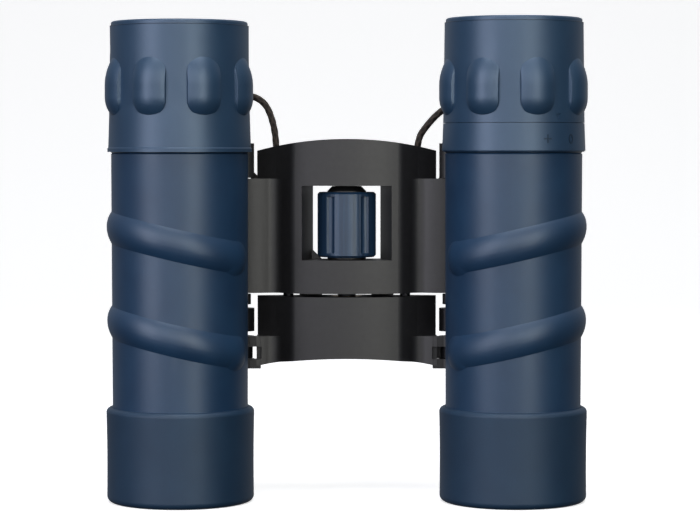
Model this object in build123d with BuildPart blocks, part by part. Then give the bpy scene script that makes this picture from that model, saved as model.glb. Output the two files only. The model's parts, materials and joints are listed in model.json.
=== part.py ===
from build123d import *
from math import cos, pi, radians, sin, sqrt, tan
import os

os.makedirs("parts", exist_ok=True)

# Compact roof-prism binoculars, 10x25 class, standing on their objective rings.
# +X runs from the left barrel to the right one, +Y from the underside to the top side,
# +Z from the objectives up to the eyepieces. The hinge and focus parts lie on the +Y side.

# ---- Driving dimensions, mm --------------------------------------------------------------

# Optical axes and hinges
hinge_spacing = 48.0         # between the two fold hinges
lug_stand = 3.71             # from the skin of a barrel housing to its hinge axis
lug_angle = 40.13            # degrees, from the line between the barrels back to a hinge
knuckle_r = 2.5
small_knuckle_r = 2.1        # second lug of the objective cell
ear_r = 1.7                  # lower ear of the barrel housing
pin_r = 0.9
press_gap = 0.01             # radial, pin in its own body
run_gap = 0.05               # radial, shaft or pin in another body
slide_gap = 0.15             # radial, tube sliding in a tube
fit_gap = 0.03               # pieces of one body that are fitted together
side_gap = 0.2               # along the hinge, between knuckles
same_place = 0.01            # corners this close count as the same

# Rubber armour of a barrel
armour_top_z = 79.5
armour_bottom_wall = 0.81
armour_top_wall = 0.97
rib_width = 7.8
rib_height = 1.12
rib_root = 0.5               # the band's edges lie this far under the armour's surface
rib_root_flare = 0.4         # and this far beyond the width that shows
rib_upper_z = 59.0           # rib centre at the front of the barrel
rib_lower_z = 37.65
rib_tilt = 3.8               # rise from the front to the outer side
rib_front_end = -148.0       # degrees round the barrel from the outer side, at the front
rib_back_end = 90.5          # and at the back, short of the hinge

# Objective ring
ring_height = 21.6
ring_wall = 2.25
ring_waist_in = 0.15         # the ring is slimmer at its waist and at its foot
ring_foot_in = 0.1
ring_waist_z = 8.0
ring_shoulder = 1.0          # height of the rounded shoulder at the top
ring_shoulder_in = 0.35
ring_shoulder_down = 0.3
ring_foot_round = 1.4
ring_lip = 1.2
ring_mouth_in = 0.75         # the lip reaches this far inside the housing's bore

# Barrel housing
housing_r = 14.6
housing_wall = 0.85
housing_roof_z = 77.4
housing_roof = 2.0
neck_step = 1.4              # the eyepiece neck is this much slimmer than the housing
neck_wall = 1.0
neck_top_z = 96.0
roof_shelf = 2.8
lug_arm = 4.4                # width of the arms that carry the lugs
lug_low_z = 73.7
lug_high_z = 81.7
ear_low_z = 44.3
ear_high_z = 46.7
arm_gap = 0.3                # round an arm that slides in its slot

# Objective cell
cell_low_z = 6.5
cell_high_z = 44.0
cell_wall = 1.8
lens_seat = 0.7
lens_z = 8.6                 # front of the doublet
crown_edge = 2.0
flint_edge = 1.6
lens_bulge = 1.1
retainer_width = 0.7
retainer_height = 1.0
retainer_gap = 0.2           # the bulge of a lens needs this under its retaining ring
cell_arm = 4.0
cell_lug_low_z = 38.05
cell_lug_high_z = 43.4
cell_small_lug_low_z = 31.8
cell_small_lug_high_z = 34.3
focus_travel = 4.0

# Prisms
prism_base_z = 53.0
prism_entry_share = 0.4      # shares of the housing's bore radius
prism_depth_share = 0.873
half_penta_share = 0.945
schmidt_share = 0.982
prism_air_gap = 0.1
prism_lean = 22.5            # half the angle between the leaning faces
roof_foot = 0.25             # flat left beside the gap at the foot of the roof edge
holder_low_z = 50.5
holder_high_z = 74.0
prism_fit = 0.1

# Eyepiece
ocular_low_z = 80.2
ocular_high_z = 98.4
ocular_wall = 2.55
eye_lens_in = 0.7            # the eye lens is smaller than the tube's bore
eye_lens_z = 94.0
eye_lens_bulge = 0.8
eye_shelf = 1.0
eye_retainer_in = 1.15
eye_retainer_height = 1.0
eye_retainer_cover = 0.8     # how far the retaining ring covers the eye lens
field_lens_z = 85.0
field_lens_edge = 3.0
field_lens_bulge = 0.9
field_stop_z = 82.0
field_stop_height = 0.8
field_stop_width = 3.1
lens_fit = 0.1

# Eyecups
eyecup_low_z = 79.7
eyecup_funnel = 9.2          # from the throat up to the mouth of the left cup
dioptre_rise = 0.8           # the right cup stands this much higher
eyecup_top_wall = 1.15       # rubber outside the radius of the housing
eyecup_mid_wall = 1.4
eyecup_lip_wall = 1.8
eyecup_mid_z = 87.0
eyecup_bead = 1.0            # height of the bead round the mouth
eyecup_bead_inset = 0.25
eyecup_foot_bead = 0.8       # height of the bead round the foot of the left cup
eyecup_foot_step = 0.2
eyecup_bore_clear = 0.1
eyecup_mouth_in = 2.3        # rubber at the mouth, inside the top radius
eyecup_throat_in = 2.6       # these two are inside the radius of the neck
eyecup_inner_in = 0.7
eyecup_throat_gap = 1.6      # between the eyepiece tube and the throat
eyecup_throat = 1.2
base_ring_low_z = 79.75
base_ring_high_z = 86.2
base_ring_wall = 1.45
base_ring_lip_wall = 1.7
dioptre_gap = 0.1            # between the base ring and the turning eyecup
grip_count = 8
grip_z = 94.3
grip_height = 13.8
grip_width = 7.8
grip_round_r = 6.5           # round the eyecup, each grip is rounder than the cup
grip_wall = 2.9              # from the radius of the housing to the top of a grip
grip_rise = 2.0              # from the wall up to the straight back of a grip
grip_foot_round = 4.6        # length of the rounding at the foot of a grip
grip_head_round = 6.5        # and at its head, which fades out
left_grip_turn = 23.8
right_grip_turn = 15.5
index_mark = 1.5             # sides of the pointer cut in the dioptre eyecup
index_cut = 0.35
index_turn = -56.0           # degrees round the barrel from the outer side

# Bridge
arch_crest = -6.8            # all these depths are behind the hinge axes
arch_edge = -4.6
arch_half_width = 12.6
arch_round = 3.0
valley_in = 7.5              # the valley of the front face, inside the hinge
valley_depth = -0.5          # foot of the valley, from where a curved web rises to the hinge
shoulder_depth = 2.6         # the sides of the bridge above its knuckles start here
back_crest = 5.7
bridge_low_z = 47.0
bridge_high_z = 82.7
bridge_shoulder_z = 80.0
bridge_edge_in = 3.1         # the bridge above its knuckles ends inside the hinges
knuckle_high_z = 73.5
cover_gap = 0.05
edge_break = 0.3
window_half_width = 10.4
window_throat = 7.9
window_mouth_depth = -5.4
window_throat_depth = 4.2    # the side walls lean together up to here
window_low_z = 54.7
window_high_z = 71.9
gusset = 2.1                 # small web in one rear corner of the window
gusset_root = 0.3            # let into the side wall
gusset_thick = 1.0

# Focus slider
slider_high_z = 46.2
slider_low_z = 29.4
slider_middle_z = 32.0
slider_edge_in = 3.15
slider_foot_edge_in = 3.0
slider_step_z = 36.9
web_length = 4.0
web_depth = 2.0
slot_recess = 1.2
slot_recess_depth = 1.6
slot_screen = 0.6            # small plate that closes the right slot from behind
slot_screen_in = 2.8
slot_screen_width = 1.4
slot_screen_depth = 2.9

# Focus wheel
wheel_depth = 0.9            # behind the hinge axes
wheel_r = 6.8
wheel_low_z = 55.3
wheel_high_z = 70.4
wheel_core_r = 5.0
wheel_hub_r = 4.5
wheel_hub_bevel = 1.1        # the hub narrows to its upper end
wheel_rim = 1.0              # uncut rim at each end of the fluted grip
wheel_end_gap = 0.15
wheel_chamfer = 0.45
flute_count = 5
flute_r = 1.3
flute_offset = 0.55
flute_turn = 38.0
shaft_r = 2.1
upper_shaft_r = 2.0
upper_shaft_top_z = 76.4
bush_wall = 1.2
bush_top_z = 76.8
screw_low_z = 33.8
screw_high_z = 66.0
nut_low_z = 37.5
nut_wall = 1.5
screw_room = 1.0             # clear length of the slider's bore below the screw
rod_r = 1.2
rod_spacing = 27.2
rod_low_z = 33.5
rod_high_z = 57.0

# Neck cord
cord_d = 1.6
cord_hole_in = 7.6           # inside the hinges
cord_hole_depth = 1.85       # behind the hinge axes, as is the coil's
cord_hole_gap = 0.2
cord_seat_z = 78.6           # the cord ends on its knot at the foot of the hole
knot_r = 1.6
knot_gap = 0.1
knot_flat = 0.3              # taken off the top of a knot, where the cord starts
bend_share = 0.45            # of the shorter run beside a corner, used up by its bend
coil_mean_r = 8.8
coil_rows = 3
coil_layers = 4
coil_depth = 12.2
coil_z = 43.6
coil_play = 0.15
coil_strand_z = 51.0         # the strands run straight up beside the coil to this height
tie_width = 3.0
tie_wall = 0.7

# ---- Derived places ----------------------------------------------------------------------

housing_bore_r = housing_r - housing_wall
armour_bottom_r = housing_r + armour_bottom_wall
armour_top_r = housing_r + armour_top_wall
armour_bottom_z = ring_height
ring_top_r = housing_r + ring_wall
ring_waist_r = ring_top_r - ring_waist_in
ring_foot_r = ring_top_r - ring_foot_in
ring_mouth_r = housing_bore_r - ring_mouth_in
cell_r = housing_bore_r - slide_gap
cell_bore_r = cell_r - cell_wall
lens_r = cell_bore_r + lens_seat
prism_half_entry = prism_entry_share * housing_bore_r
prism_depth = prism_depth_share * housing_bore_r
half_penta_height = half_penta_share * housing_bore_r
schmidt_height = schmidt_share * housing_bore_r
neck_r = housing_r - neck_step
neck_bore_r = neck_r - neck_wall
roof_mouth_r = neck_bore_r - roof_shelf
ocular_r = neck_bore_r - run_gap
ocular_bore_r = ocular_r - ocular_wall
eye_lens_r = ocular_bore_r - eye_lens_in
eye_retainer_r = ocular_r - eye_retainer_in
eye_retainer_hole_r = eye_lens_r - eye_retainer_cover
field_stop_hole_r = ocular_bore_r - field_stop_width
eyecup_top_r = housing_r + eyecup_top_wall
eyecup_mid_r = housing_r + eyecup_mid_wall
eyecup_lip_r = housing_r + eyecup_lip_wall
eyecup_mouth_r = eyecup_top_r - eyecup_mouth_in
eyecup_throat_r = neck_r - eyecup_throat_in
eyecup_inner_r = neck_r - eyecup_inner_in
eyecup_throat_z = ocular_high_z + eyecup_throat_gap
eyecup_high_z = eyecup_throat_z + eyecup_funnel
dioptre_high_z = eyecup_high_z + dioptre_rise
base_ring_r = housing_r + base_ring_wall
base_ring_lip_r = housing_r + base_ring_lip_wall
grip_reach = housing_r + grip_wall
grip_centre_r = grip_reach - grip_round_r
front_grip = grip_round_r + grip_centre_r * cos(radians(right_grip_turn))
front_reach = max(ring_top_r, front_grip)           # from the optical axes to the front

lug_reach = housing_r + lug_stand                   # optical axis to hinge axis
hinge_x = hinge_spacing / 2
axis_x = hinge_x + lug_reach * cos(radians(lug_angle))
hinge_depth = lug_reach * sin(radians(lug_angle))   # behind the plane of the optical axes
axis_y = (front_reach - hinge_depth - wheel_depth - wheel_r) / 2    # centres it front to back
hinge_y = axis_y + hinge_depth
wheel_y = hinge_y + wheel_depth
rear_y = hinge_y + 3 * back_crest                   # clear behind the bridge
valley_x = hinge_x - valley_in
bridge_half_width = hinge_x - bridge_edge_in
slider_half_width = hinge_x - slider_edge_in
slider_foot_half_width = hinge_x - slider_foot_edge_in
cord_hole_x = hinge_x - cord_hole_in
pin_run_r = pin_r + run_gap
pin_press_r = pin_r + press_gap
rod_run_r = rod_r + run_gap
nut_seat_r = shaft_r + run_gap + nut_wall + press_gap

barrel_plane = Plane(origin=(axis_x, axis_y, 0))
barrel_axis = Axis((axis_x, axis_y, 0), (0, 0, 1))
# In this plane x is the distance from the optical axis and y the height.
turned_plane = Plane(origin=(axis_x, axis_y, 0), x_dir=(1, 0, 0), z_dir=(0, -1, 0))
# In this plane x runs from the optical axis of the right barrel straight to its hinge.
lug_plane = Plane(
    origin=(axis_x, axis_y, 0),
    x_dir=(hinge_x - axis_x, hinge_depth, 0),
    z_dir=(0, 0, 1),
)
hinge_plane = Plane(origin=(hinge_x, hinge_y, 0))
wheel_plane = Plane(origin=(0, wheel_y, 0))


def armour_radius(z):
    """Outer radius of the plain armour at a height."""
    share = (z - armour_bottom_z) / (armour_top_z - armour_bottom_z)
    return armour_bottom_r + share * (armour_top_r - armour_bottom_r)


def keep(builder, label, left=False):
    """Label a finished piece and write it; a left piece is the mirror of the right one."""
    piece = mirror(builder.part, about=Plane.YZ) if left else builder.part
    piece.label = label
    export_step(piece, f"parts/{label}.step")


def tube(plane, z_low, z_high, outer_r, inner_r):
    """Add a plain ring or tube to the piece being built."""
    with BuildSketch(plane.offset(z_low)) as ring:
        Circle(outer_r)
        Circle(inner_r, mode=Mode.SUBTRACT)
    extrude(ring.sketch, amount=z_high - z_low)


def bore(plane, z_low, z_high, radius):
    """Cut a round hole in the piece being built."""
    with BuildSketch(plane.offset(z_low)) as hole:
        Circle(radius)
    extrude(hole.sketch, amount=z_high - z_low, mode=Mode.SUBTRACT)


def arm(z_low, z_high, start, end, width, mode=Mode.ADD):
    """A flat arm from the optical axis towards the hinge, or the slot for one."""
    with BuildSketch(lug_plane.offset(z_low)) as outline:
        with Locations(((start + end) / 2, 0)):
            Rectangle(end - start, width)
    extrude(outline.sketch, amount=z_high - z_low, mode=mode)


# ---- Barrels -----------------------------------------------------------------------------


def make_housing(side):
    """Tube under the armour, with its roof, eyepiece neck, upper hinge lug and lower ear."""
    roof_top_z = housing_roof_z + housing_roof
    with BuildPart() as housing:
        with BuildSketch(turned_plane):
            with BuildLine():
                Polyline(
                    (housing_bore_r, ring_lip),
                    (housing_r, ring_lip),
                    (housing_r, roof_top_z),
                    (neck_r, roof_top_z),
                    (neck_r, neck_top_z),
                    (neck_bore_r, neck_top_z),
                    (neck_bore_r, roof_top_z),
                    (roof_mouth_r, roof_top_z),
                    (roof_mouth_r, housing_roof_z),
                    (housing_bore_r, housing_roof_z),
                    close=True,
                )
            make_face()
        revolve(axis=barrel_axis)
        inside_wall = housing_r - housing_wall / 2
        arm(lug_low_z, lug_high_z, inside_wall, lug_reach, lug_arm)
        arm(ear_low_z, ear_high_z, inside_wall, lug_reach, 2 * ear_r)
        with BuildSketch(hinge_plane.offset(lug_low_z)):
            Circle(knuckle_r)
        extrude(amount=lug_high_z - lug_low_z)
        with BuildSketch(hinge_plane.offset(ear_low_z)):
            Circle(ear_r)
        extrude(amount=ear_high_z - ear_low_z)
        with BuildSketch(barrel_plane.offset(roof_top_z)):
            Circle(eyecup_lip_r + fit_gap)
            Circle(neck_r, mode=Mode.SUBTRACT)
        extrude(amount=lug_high_z - roof_top_z, mode=Mode.SUBTRACT)
        bore(hinge_plane, ear_low_z, lug_high_z, pin_run_r)
        slot_low_z = cell_small_lug_low_z - focus_travel - arm_gap
        slot_high_z = cell_lug_high_z + arm_gap
        slot_width = cell_arm + 2 * arm_gap
        arm(slot_low_z, slot_high_z, cell_bore_r, lug_reach, slot_width, Mode.SUBTRACT)
    keep(housing, f"{side}_housing", left=side == "left")


def make_armour(side):
    """Rubber sleeve with two diagonal ribs, notched for the hinge arms."""
    section_r = (rib_width / 2) ** 2 / (2 * rib_height) + rib_height / 2
    with BuildPart() as armour:
        with BuildSketch(turned_plane):
            with BuildLine():
                Polyline(
                    (0, armour_bottom_z),
                    (armour_bottom_r, armour_bottom_z),
                    (armour_top_r, armour_top_z),
                    (0, armour_top_z),
                    close=True,
                )
            make_face()
        revolve(axis=barrel_axis)
        chamfer(armour.edges().group_by(Axis.Z)[-1], edge_break)
        for rib_z in (rib_upper_z, rib_lower_z):
            crest_r = armour_radius(rib_z) + rib_height
            add(make_rib(rib_z, crest_r))
            for end in (rib_front_end, rib_back_end):
                end_z = rib_z + rib_tilt * cos(radians(end))
                centre_r = crest_r - section_r
                with Locations(
                    (
                        axis_x + centre_r * cos(radians(end)),
                        axis_y + centre_r * sin(radians(end)),
                        end_z,
                    )
                ):
                    Sphere(section_r)
        bore(barrel_plane, armour_bottom_z, armour_top_z, housing_r + fit_gap)
        arm(lug_low_z - fit_gap, armour_top_z, 0, lug_reach, lug_arm + 2 * fit_gap, Mode.SUBTRACT)
        arm(
            ear_low_z - fit_gap,
            ear_high_z + fit_gap,
            0,
            lug_reach,
            2 * (ear_r + fit_gap),
            Mode.SUBTRACT,
        )
        slot_low_z = cell_small_lug_low_z - focus_travel - arm_gap
        slot_high_z = cell_lug_high_z + arm_gap
        slot_width = cell_arm + 2 * arm_gap
        arm(slot_low_z, slot_high_z, 0, lug_reach, slot_width, Mode.SUBTRACT)
    keep(armour, f"{side}_armour", left=side == "left")


def make_rib(rib_z, crest_r):
    """A round-backed band that climbs towards the outer side of the barrel."""
    sweep_angle = rib_back_end - rib_front_end
    root_r = crest_r - rib_height - rib_root
    root_half = rib_width / 2 + rib_root_flare
    with BuildPart(mode=Mode.PRIVATE) as band:
        with BuildSketch(Plane.XZ):
            with BuildLine():
                arc = ThreePointArc(
                    (root_r, -root_half),
                    (crest_r, 0),
                    (root_r, root_half),
                )
                Line(arc @ 1, arc @ 0)
            make_face()
        revolve(axis=Axis.Z, revolution_arc=sweep_angle)
    slope = rib_tilt / crest_r
    shear = Matrix(
        [
            [1, 0, 0, 0],
            [0, 1, 0, 0],
            [slope, 0, 1, 0],
            [0, 0, 0, 1],
        ]
    )
    turned = band.part.rotate(Axis.Z, rib_front_end)
    sloped = turned.transform_geometry(shear)
    return sloped.moved(Location((axis_x, axis_y, rib_z)))


def make_objective_ring(side):
    """Smooth rubber ring round the objective end, with a lip that covers the housing."""
    shoulder_z = ring_height - ring_shoulder
    with BuildPart() as ring:
        with BuildSketch(turned_plane):
            with BuildLine():
                inside = Polyline(
                    (armour_bottom_r, ring_height),
                    (housing_r + fit_gap, ring_height),
                    (housing_r + fit_gap, ring_lip),
                    (ring_mouth_r, ring_lip),
                    (ring_mouth_r, 0),
                    (ring_foot_r - ring_foot_round, 0),
                )
                foot = TangentArc(inside @ 1, (ring_foot_r, ring_foot_round), tangent=(1, 0))
                flank = ThreePointArc(
                    foot @ 1,
                    (ring_waist_r, ring_waist_z),
                    (ring_top_r, shoulder_z),
                )
                ThreePointArc(
                    flank @ 1,
                    (ring_top_r - ring_shoulder_in, ring_height - ring_shoulder_down),
                    inside @ 0,
                )
            make_face()
        revolve(axis=barrel_axis)
    keep(ring, f"{side}_objective_ring", left=side == "left")


def make_objective_cell(side):
    """Sliding tube for the objective, with the two lugs that the focus slider pulls on."""
    with BuildPart() as cell:
        tube(barrel_plane, cell_low_z, cell_high_z, cell_r, cell_bore_r)
        bore(barrel_plane, cell_low_z, lens_z + crown_edge + flint_edge, lens_r + lens_fit)
        inside_wall = (cell_r + cell_bore_r) / 2
        for low_z, high_z, radius in (
            (cell_lug_low_z, cell_lug_high_z, knuckle_r),
            (cell_small_lug_low_z, cell_small_lug_high_z, small_knuckle_r),
        ):
            arm(low_z, high_z, inside_wall, lug_reach, cell_arm)
            tube(hinge_plane, low_z, high_z, radius, pin_run_r)
            bore(hinge_plane, low_z, high_z, pin_run_r)
    keep(cell, f"{side}_objective_cell", left=side == "left")


def make_lens(label, plane, axis, z_low, edge, radius, low_bulge, high_bulge, left=False):
    """A round lens; a bulge is positive where the face is convex."""
    with BuildPart() as lens:
        with BuildSketch(plane):
            with BuildLine():
                low = (0, z_low - low_bulge)
                high = (0, z_low + edge + high_bulge)
                under = TangentArc(low, (radius, z_low), tangent=(1, 0))
                over = TangentArc(high, (radius, z_low + edge), tangent=(1, 0))
                Line(under @ 1, over @ 1)
                Line(under @ 0, over @ 0)
            make_face()
        revolve(axis=axis)
    keep(lens, label, left=left)


def make_objective_lenses(side):
    """Cemented doublet and the ring that holds it."""
    left = side == "left"
    flint_z = lens_z + crown_edge
    make_lens(
        f"{side}_objective_crown",
        turned_plane,
        barrel_axis,
        lens_z,
        crown_edge,
        lens_r,
        lens_bulge,
        lens_bulge,
        left,
    )
    make_lens(
        f"{side}_objective_flint",
        turned_plane,
        barrel_axis,
        flint_z + cover_gap,
        flint_edge - cover_gap,
        lens_r,
        -lens_bulge,
        -lens_bulge / 4,
        left,
    )
    with BuildPart() as retainer:
        seat_r = lens_r + lens_fit
        top_z = lens_z - retainer_gap
        tube(
            barrel_plane,
            top_z - retainer_height,
            top_z,
            seat_r - fit_gap,
            seat_r - retainer_width,
        )
    keep(retainer, f"{side}_objective_retainer", left=left)


def make_prisms(side):
    """Pechan pair: a half-penta prism below, a Schmidt prism with its roof edge above."""
    left = side == "left"
    centre_plane = Plane(
        origin=(axis_x, axis_y, prism_base_z), x_dir=(1, 0, 0), z_dir=(0, -1, 0)
    )
    lean = tan(radians(prism_lean))
    with BuildPart() as half_penta:
        with BuildSketch(centre_plane):
            with BuildLine():
                Polyline(
                    (-prism_half_entry, 0),
                    (prism_half_entry, 0),
                    (prism_half_entry - half_penta_height, half_penta_height),
                    (-prism_half_entry - lean * half_penta_height, half_penta_height),
                    close=True,
                )
            make_face()
        extrude(amount=prism_depth / 2, both=True)
    keep(half_penta, f"{side}_half_penta_prism", left=left)

    gap_x = prism_half_entry + prism_air_gap * sqrt(2)
    roof_foot_x = gap_x + roof_foot
    with BuildPart() as schmidt:
        with BuildSketch(centre_plane):
            with BuildLine():
                Polyline(
                    (gap_x, 0),
                    (roof_foot_x, 0),
                    (roof_foot_x + lean * schmidt_height, schmidt_height),
                    (gap_x - schmidt_height, schmidt_height),
                    close=True,
                )
            make_face()
        extrude(amount=prism_depth / 2, both=True)
        roof_plane = Plane(
            origin=(axis_x + roof_foot_x, axis_y, prism_base_z),
            x_dir=(0, 1, 0),
            z_dir=(sin(radians(prism_lean)), 0, cos(radians(prism_lean))),
        )
        reach = 3 * schmidt_height
        with BuildSketch(roof_plane):
            with BuildLine():
                Polyline((0, 0), (reach, reach), (-reach, reach), close=True)
            make_face()
        extrude(amount=reach, both=True, mode=Mode.INTERSECT)
    keep(schmidt, f"{side}_schmidt_prism", left=left)

    holder_r = housing_bore_r - slide_gap
    floor_z = prism_base_z - prism_fit
    with BuildPart() as holder:
        tube(barrel_plane, holder_low_z, holder_high_z, holder_r, prism_half_entry)
        with BuildSketch(barrel_plane.offset(floor_z)):
            Rectangle(2 * holder_r, prism_depth + 2 * prism_fit)
        extrude(amount=holder_high_z - floor_z, mode=Mode.SUBTRACT)
    keep(holder, f"{side}_prism_holder", left=left)


def make_eyepiece(side):
    """Eyepiece tube with its two lenses, the field stop and the retaining ring."""
    left = side == "left"
    eye_seat_z = eye_lens_z - cover_gap
    ring_low_z = ocular_high_z - eye_retainer_height
    with BuildPart() as eyepiece:
        with BuildSketch(turned_plane):
            with BuildLine():
                Polyline(
                    (ocular_bore_r, ocular_low_z),
                    (ocular_r, ocular_low_z),
                    (ocular_r, ocular_high_z),
                    (eye_retainer_r + lens_fit, ocular_high_z),
                    (eye_retainer_r + lens_fit, ring_low_z - cover_gap),
                    (eye_lens_r + lens_fit, ring_low_z - cover_gap),
                    (eye_lens_r + lens_fit, eye_seat_z),
                    (eye_lens_r - eye_shelf, eye_seat_z),
                    (eye_lens_r - eye_shelf, eye_seat_z - eye_shelf),
                    (ocular_bore_r, eye_seat_z - eye_shelf),
                    close=True,
                )
            make_face()
        revolve(axis=barrel_axis)
    keep(eyepiece, f"{side}_eyepiece_tube", left=left)

    make_lens(
        f"{side}_eye_lens",
        turned_plane,
        barrel_axis,
        eye_lens_z,
        ring_low_z - retainer_gap - eye_lens_z,
        eye_lens_r,
        eye_lens_bulge / 4,
        eye_lens_bulge,
        left,
    )
    make_lens(
        f"{side}_field_lens",
        turned_plane,
        barrel_axis,
        field_lens_z,
        field_lens_edge,
        ocular_bore_r - lens_fit,
        field_lens_bulge,
        field_lens_bulge,
        left,
    )
    with BuildPart() as stop:
        tube(
            barrel_plane,
            field_stop_z,
            field_stop_z + field_stop_height,
            ocular_bore_r - lens_fit,
            field_stop_hole_r,
        )
    keep(stop, f"{side}_field_stop", left=left)
    with BuildPart() as retainer:
        tube(barrel_plane, ring_low_z, ocular_high_z, eye_retainer_r, eye_retainer_hole_r)
        chamfer(retainer.edges().group_by(Axis.Z)[-1].sort_by(SortBy.LENGTH)[0], edge_break)
    keep(retainer, f"{side}_eye_retainer", left=left)


def cup_section(low_z, high_z, low_r, foot):
    """Half section of an eyecup: beaded mouth outside, open funnel inside."""
    bore_r = neck_r + eyecup_bore_clear
    bead_low_z = high_z - eyecup_bead
    bead_r = eyecup_top_r - eyecup_bead_inset
    rim_z = high_z - eyecup_bead / 2
    throat_top_z = eyecup_throat_z + eyecup_throat
    with BuildSketch(turned_plane) as section:
        with BuildLine():
            inner = Polyline(
                (eyecup_mouth_r, rim_z),
                (eyecup_throat_r, throat_top_z),
                (eyecup_throat_r, eyecup_throat_z),
                (eyecup_inner_r, eyecup_throat_z),
                (eyecup_inner_r, neck_top_z + eyecup_bore_clear),
                (bore_r, neck_top_z + eyecup_bore_clear),
                (bore_r, low_z),
                (low_r, low_z),
            )
            if foot:
                bead = Polyline(
                    inner @ 1,
                    (low_r, low_z + eyecup_foot_bead),
                    (low_r - eyecup_foot_step, low_z + eyecup_foot_bead + eyecup_foot_step),
                )
                flare = ThreePointArc(
                    bead @ 1,
                    (eyecup_mid_r, eyecup_mid_z),
                    (eyecup_top_r, bead_low_z),
                )
            else:
                flare = Line(inner @ 1, (eyecup_top_r, bead_low_z))
            rim = Polyline(flare @ 1, (bead_r, bead_low_z), (bead_r, rim_z))
            mouth = TangentArc(rim @ 1, (bead_r - eyecup_bead / 2, high_z), tangent=(0, 1))
            TangentArc(mouth @ 1, inner @ 0, tangent=(-1, 0))
        make_face()
    return section.sketch


def add_grips(turn, side_sign):
    """Long grips round an eyecup: rounder than the cup, with round ends and a soft head."""
    low_z = grip_z - grip_height / 2
    high_z = grip_z + grip_height / 2
    end_r = grip_round_r - grip_rise
    with BuildPart(mode=Mode.PRIVATE) as grip:
        with BuildSketch(Plane.XZ):
            with BuildLine():
                back = Line(
                    (grip_round_r, low_z + grip_foot_round),
                    (grip_round_r, high_z - grip_head_round),
                )
                head = TangentArc(back @ 1, (end_r, high_z), tangent=(0, 1))
                foot = TangentArc(back @ 0, (end_r, low_z), tangent=(0, -1))
                Polyline(head @ 1, (0, high_z), (0, low_z), foot @ 1)
            make_face()
        revolve(axis=Axis.Z)
        with BuildSketch(Plane.YZ) as outline:
            with Locations((0, grip_z)):
                SlotOverall(grip_height, grip_width, rotation=90)
        extrude(outline.sketch, amount=grip_round_r, mode=Mode.INTERSECT)
    with Locations((axis_x, axis_y)):
        with PolarLocations(grip_centre_r, grip_count, start_angle=side_sign * turn - 90):
            add(grip.part)


def make_left_eyecup():
    """Rubber cup in one piece, from the armour up to the eye."""
    with BuildPart() as cup:
        section = cup_section(eyecup_low_z, eyecup_high_z, eyecup_lip_r, foot=True)
        revolve(section, axis=barrel_axis)
        add_grips(left_grip_turn, side_sign=-1)
        hollow_eyecup(eyecup_high_z, eyecup_low_z)
    keep(cup, "left_eyecup", left=True)


def hollow_eyecup(high_z, low_z):
    """Clear the inside of a cup where the grips reach through its wall."""
    bore(barrel_plane, low_z, neck_top_z + eyecup_bore_clear, neck_r + eyecup_bore_clear)
    bore(barrel_plane, neck_top_z, eyecup_throat_z, eyecup_inner_r)
    funnel_low_z = eyecup_throat_z
    with BuildSketch(turned_plane) as funnel:
        with BuildLine():
            Polyline(
                (0, funnel_low_z),
                (eyecup_throat_r, funnel_low_z),
                (eyecup_throat_r, funnel_low_z + eyecup_throat),
                (eyecup_mouth_r, high_z - eyecup_bead / 2),
                (0, high_z - eyecup_bead / 2),
                close=True,
            )
        make_face()
    revolve(funnel.sketch, axis=barrel_axis, mode=Mode.SUBTRACT)


def make_dioptre_eyecup():
    """Right rubber cup, which turns on the eyepiece neck to set the dioptre."""
    low_z = base_ring_high_z + dioptre_gap
    with BuildPart() as cup:
        section = cup_section(low_z, dioptre_high_z, base_ring_r, foot=False)
        revolve(section, axis=barrel_axis)
        add_grips(right_grip_turn, side_sign=1)
        hollow_eyecup(dioptre_high_z, low_z)
        turn = radians(index_turn)
        outward = (cos(turn), sin(turn), 0)
        with BuildSketch(
            Plane(
                origin=(
                    axis_x + (base_ring_r - index_cut) * outward[0],
                    axis_y + (base_ring_r - index_cut) * outward[1],
                    low_z + index_mark,
                ),
                x_dir=(-outward[1], outward[0], 0),
                z_dir=outward,
            )
        ):
            Triangle(a=index_mark, b=index_mark, c=index_mark, rotation=180)
        extrude(amount=index_mark, mode=Mode.SUBTRACT)
    keep(cup, "right_dioptre_eyecup")


def make_base_ring():
    """Fixed ring under the dioptre eyecup, which carries its marks."""
    bore_r = neck_r + fit_gap
    with BuildPart() as ring:
        with BuildSketch(turned_plane):
            with BuildLine():
                Polyline(
                    (bore_r, base_ring_low_z),
                    (base_ring_lip_r, base_ring_low_z),
                    (base_ring_r, base_ring_high_z),
                    (bore_r, base_ring_high_z),
                    close=True,
                )
            make_face()
        revolve(axis=barrel_axis)
        chamfer(ring.edges().group_by(Axis.Z)[0].sort_by(SortBy.LENGTH)[-1], edge_break)
    keep(ring, "right_dioptre_base_ring")


# ---- Bridge and focus slider -------------------------------------------------------------


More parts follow.
